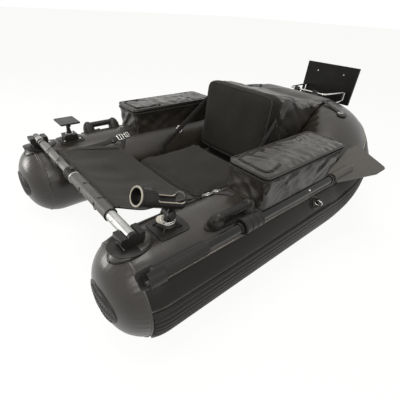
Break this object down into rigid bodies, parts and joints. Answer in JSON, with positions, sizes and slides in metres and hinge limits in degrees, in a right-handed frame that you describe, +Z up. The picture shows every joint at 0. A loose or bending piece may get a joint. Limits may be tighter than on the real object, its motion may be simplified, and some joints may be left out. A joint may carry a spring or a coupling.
{
  "type": "float tube",
  "caption": "Inflated U-shaped float tube with padded seat, side storage bags, oars in oarlocks, spreader bar, rod and sonar mounts and a stern motor board.",
  "frame": {"origin": "Centre of the bounding box, at the floor that the side tubes rest on.", "axes": "+X across the boat, towards the rod holder's side; +Y from the open bow to the motor board at the stern; +Z up."},
  "size_m": [1.3699, 1.8804, 0.6463],
  "materials": {
    "hull_pvc": "semi-gloss charcoal coated fabric",
    "strake_rubber": "ribbed black rubber",
    "patch_rubber": "moulded dark grey rubber",
    "bar_aluminium": "satin anodised",
    "bar_grey": "dark grey satin sleeve",
    "black_plastic": "moulded black",
    "seat_fabric": "dark grey woven cloth",
    "back_fabric": "black woven cloth",
    "apron_fabric": "dark coated mesh cloth",
    "bag_nylon": "slightly shiny dark nylon",
    "webbing": "black woven webbing",
    "stainless": "bright stainless steel",
    "oar_shaft": "black coated tube",
    "oar_grip": "dark grey foam grip",
    "blade_plastic": "dark grey moulded blade",
    "cream_plastic": "cream moulded base",
    "board_black": "black board"
  },
  "bodies": {
    "hull": {"hull_right_tube": "hull_pvc", "hull_left_tube": "hull_pvc", "hull_stern_tube": "hull_pvc", "rubbing_band": "strake_rubber", "bar_bracket_right": "black_plastic", "bar_bracket_left": "black_plastic", "bar_outer_tube": "bar_aluminium", "bar_sleeve": "bar_grey", "bar_plug_right": "black_plastic", "seat_deck": "seat_fabric", "seat_cushion": "seat_fabric", "rear_bag": "bag_nylon", "apron": "apron_fabric", "bag_right_body": "bag_nylon", "bag_left_body": "bag_nylon", "back_strap_right": "webbing", "back_strap_left": "webbing", "side_strap_right": "webbing", "side_strap_left": "webbing", "oarlock_base_right": "black_plastic", "oarlock_base_left": "black_plastic", "oar_clip_right": "black_plastic", "oar_clip_left": "black_plastic", "handle_right_pad": "patch_rubber", "handle_left_pad": "patch_rubber", "handle_right_grip": "black_plastic", "handle_left_grip": "black_plastic", "finder_base": "black_plastic", "rod_base": "cream_plastic", "valve_right": "black_plastic", "valve_left": "black_plastic", "tie_ring_right": "patch_rubber", "tie_ring_left": "patch_rubber", "motor_board": "board_black", "motor_frame": "stainless", "motor_saddle": "black_plastic"},
    "bar_slider": {"bar_inner_tube": "bar_aluminium", "bar_plug_left": "black_plastic"},
    "clamp": {"bar_clamp": "black_plastic"},
    "back": {"seat_back": "back_fabric"},
    "lid_right": {"bag_right_lid": "bag_nylon"},
    "lid_left": {"bag_left_lid": "bag_nylon"},
    "puller_right": {"bag_right_puller": "stainless"},
    "puller_left": {"bag_left_puller": "stainless"},
    "finder_stand": {"finder_post": "black_plastic"},
    "finder_head": {"finder_plate": "black_plastic"},
    "rod_stand": {"rod_post": "black_plastic"},
    "rod_holder": {"rod_barrel": "black_plastic"},
    "knob": {"rod_knob": "black_plastic"},
    "lock_ring": {"rod_lock_ring": "stainless"},
    "lock_right": {"oarlock_right": "black_plastic"},
    "lock_left": {"oarlock_left": "black_plastic"},
    "oar_right": {"oar_right_grip": "oar_grip", "oar_right_shaft": "oar_shaft", "oar_right_blade": "blade_plastic"},
    "oar_left": {"oar_left_grip": "oar_grip", "oar_left_shaft": "oar_shaft", "oar_left_blade": "blade_plastic"},
    "cap_right": {"valve_right_cap": "black_plastic"},
    "cap_left": {"valve_left_cap": "black_plastic"}
  },
  "joints": [
    {"name": "bar_telescope", "type": "slide", "parent": "hull", "child": "bar_slider", "axis": [1, 0, 0], "range_m": [0, 0.1]},
    {"name": "bar_clamp_turn", "type": "hinge", "parent": "hull", "child": "clamp", "pos_m": [0, -0.82518, 0.3715], "axis": [1, 0, 0], "range_deg": [-90, 90]},
    {"name": "seat_back_fold", "type": "hinge", "parent": "hull", "child": "back", "pos_m": [0, -0.00518, 0.2353], "axis": [1, 0, 0], "range_deg": [0, 90], "deforming": ["back_strap_right", "back_strap_left"]},
    {"name": "bag_right_lid_hinge", "type": "hinge", "parent": "hull", "child": "lid_right", "pos_m": [0.3435, -0.09218, 0.4358], "axis": [0, -1, 0], "range_deg": [0, 110]},
    {"name": "bag_left_lid_hinge", "type": "hinge", "parent": "hull", "child": "lid_left", "pos_m": [-0.3435, -0.09218, 0.4358], "axis": [0, 1, 0], "range_deg": [0, 110]},
    {"name": "bag_right_zip", "type": "slide", "parent": "hull", "child": "puller_right", "axis": [0, 1, 0], "range_m": [0, 0.4]},
    {"name": "bag_left_zip", "type": "slide", "parent": "hull", "child": "puller_left", "axis": [0, 1, 0], "range_m": [0, 0.4]},
    {"name": "finder_swivel", "type": "hinge", "parent": "hull", "child": "finder_stand", "pos_m": [-0.4275, -0.68218, 0.38], "axis": [0, 0, 1], "continuous": true},
    {"name": "finder_tilt", "type": "hinge", "parent": "finder_stand", "child": "finder_head", "pos_m": [-0.4275, -0.68218, 0.4132], "axis": [1, 0, 0], "range_deg": [-60, 60]},
    {"name": "rod_swivel", "type": "hinge", "parent": "hull", "child": "rod_stand", "pos_m": [0.4275, -0.69518, 0.38], "axis": [0, 0, 1], "continuous": true},
    {"name": "rod_tilt", "type": "hinge", "parent": "rod_stand", "child": "rod_holder", "pos_m": [0.4275, -0.69518, 0.3932], "axis": [1, 0, 0], "range_deg": [-40, 20]},
    {"name": "rod_knob_turn", "type": "hinge", "parent": "rod_stand", "child": "knob", "pos_m": [0.4275, -0.69518, 0.3932], "axis": [1, 0, 0], "continuous": true},
    {"name": "rod_lock_turn", "type": "hinge", "parent": "hull", "child": "lock_ring", "pos_m": [0.4275, -0.69518, 0.3677], "axis": [0, 0, 1], "range_deg": [-60, 60]},
    {"name": "oarlock_right_swing", "type": "hinge", "parent": "hull", "child": "lock_right", "pos_m": [0.5808, -0.48218, 0.3517], "axis": [-0.6428, 0, -0.766], "range_deg": [0, 18]},
    {"name": "oarlock_left_swing", "type": "hinge", "parent": "hull", "child": "lock_left", "pos_m": [-0.63583, -0.48218, 0.2553], "axis": [-0.9239, 0, 0.3827], "range_deg": [0, 18]},
    {"name": "oar_right_feather", "type": "hinge", "parent": "lock_right", "child": "oar_right", "pos_m": [0.5808, -0.48218, 0.3517], "axis": [0.0336, 0.9986, 0.0401], "range_deg": [0, 40]},
    {"name": "oar_left_feather", "type": "hinge", "parent": "lock_left", "child": "oar_left", "pos_m": [-0.63583, -0.48218, 0.2553], "axis": [0.0483, -0.9986, -0.02], "range_deg": [0, 40]},
    {"name": "valve_right_turn", "type": "hinge", "parent": "hull", "child": "cap_right", "pos_m": [0.045, 0.68641, 0.17399], "axis": [0, 0.6157, -0.788], "continuous": true},
    {"name": "valve_left_turn", "type": "hinge", "parent": "hull", "child": "cap_left", "pos_m": [-0.045, 0.68641, 0.17399], "axis": [0, 0.6157, -0.788], "continuous": true}
  ]
}
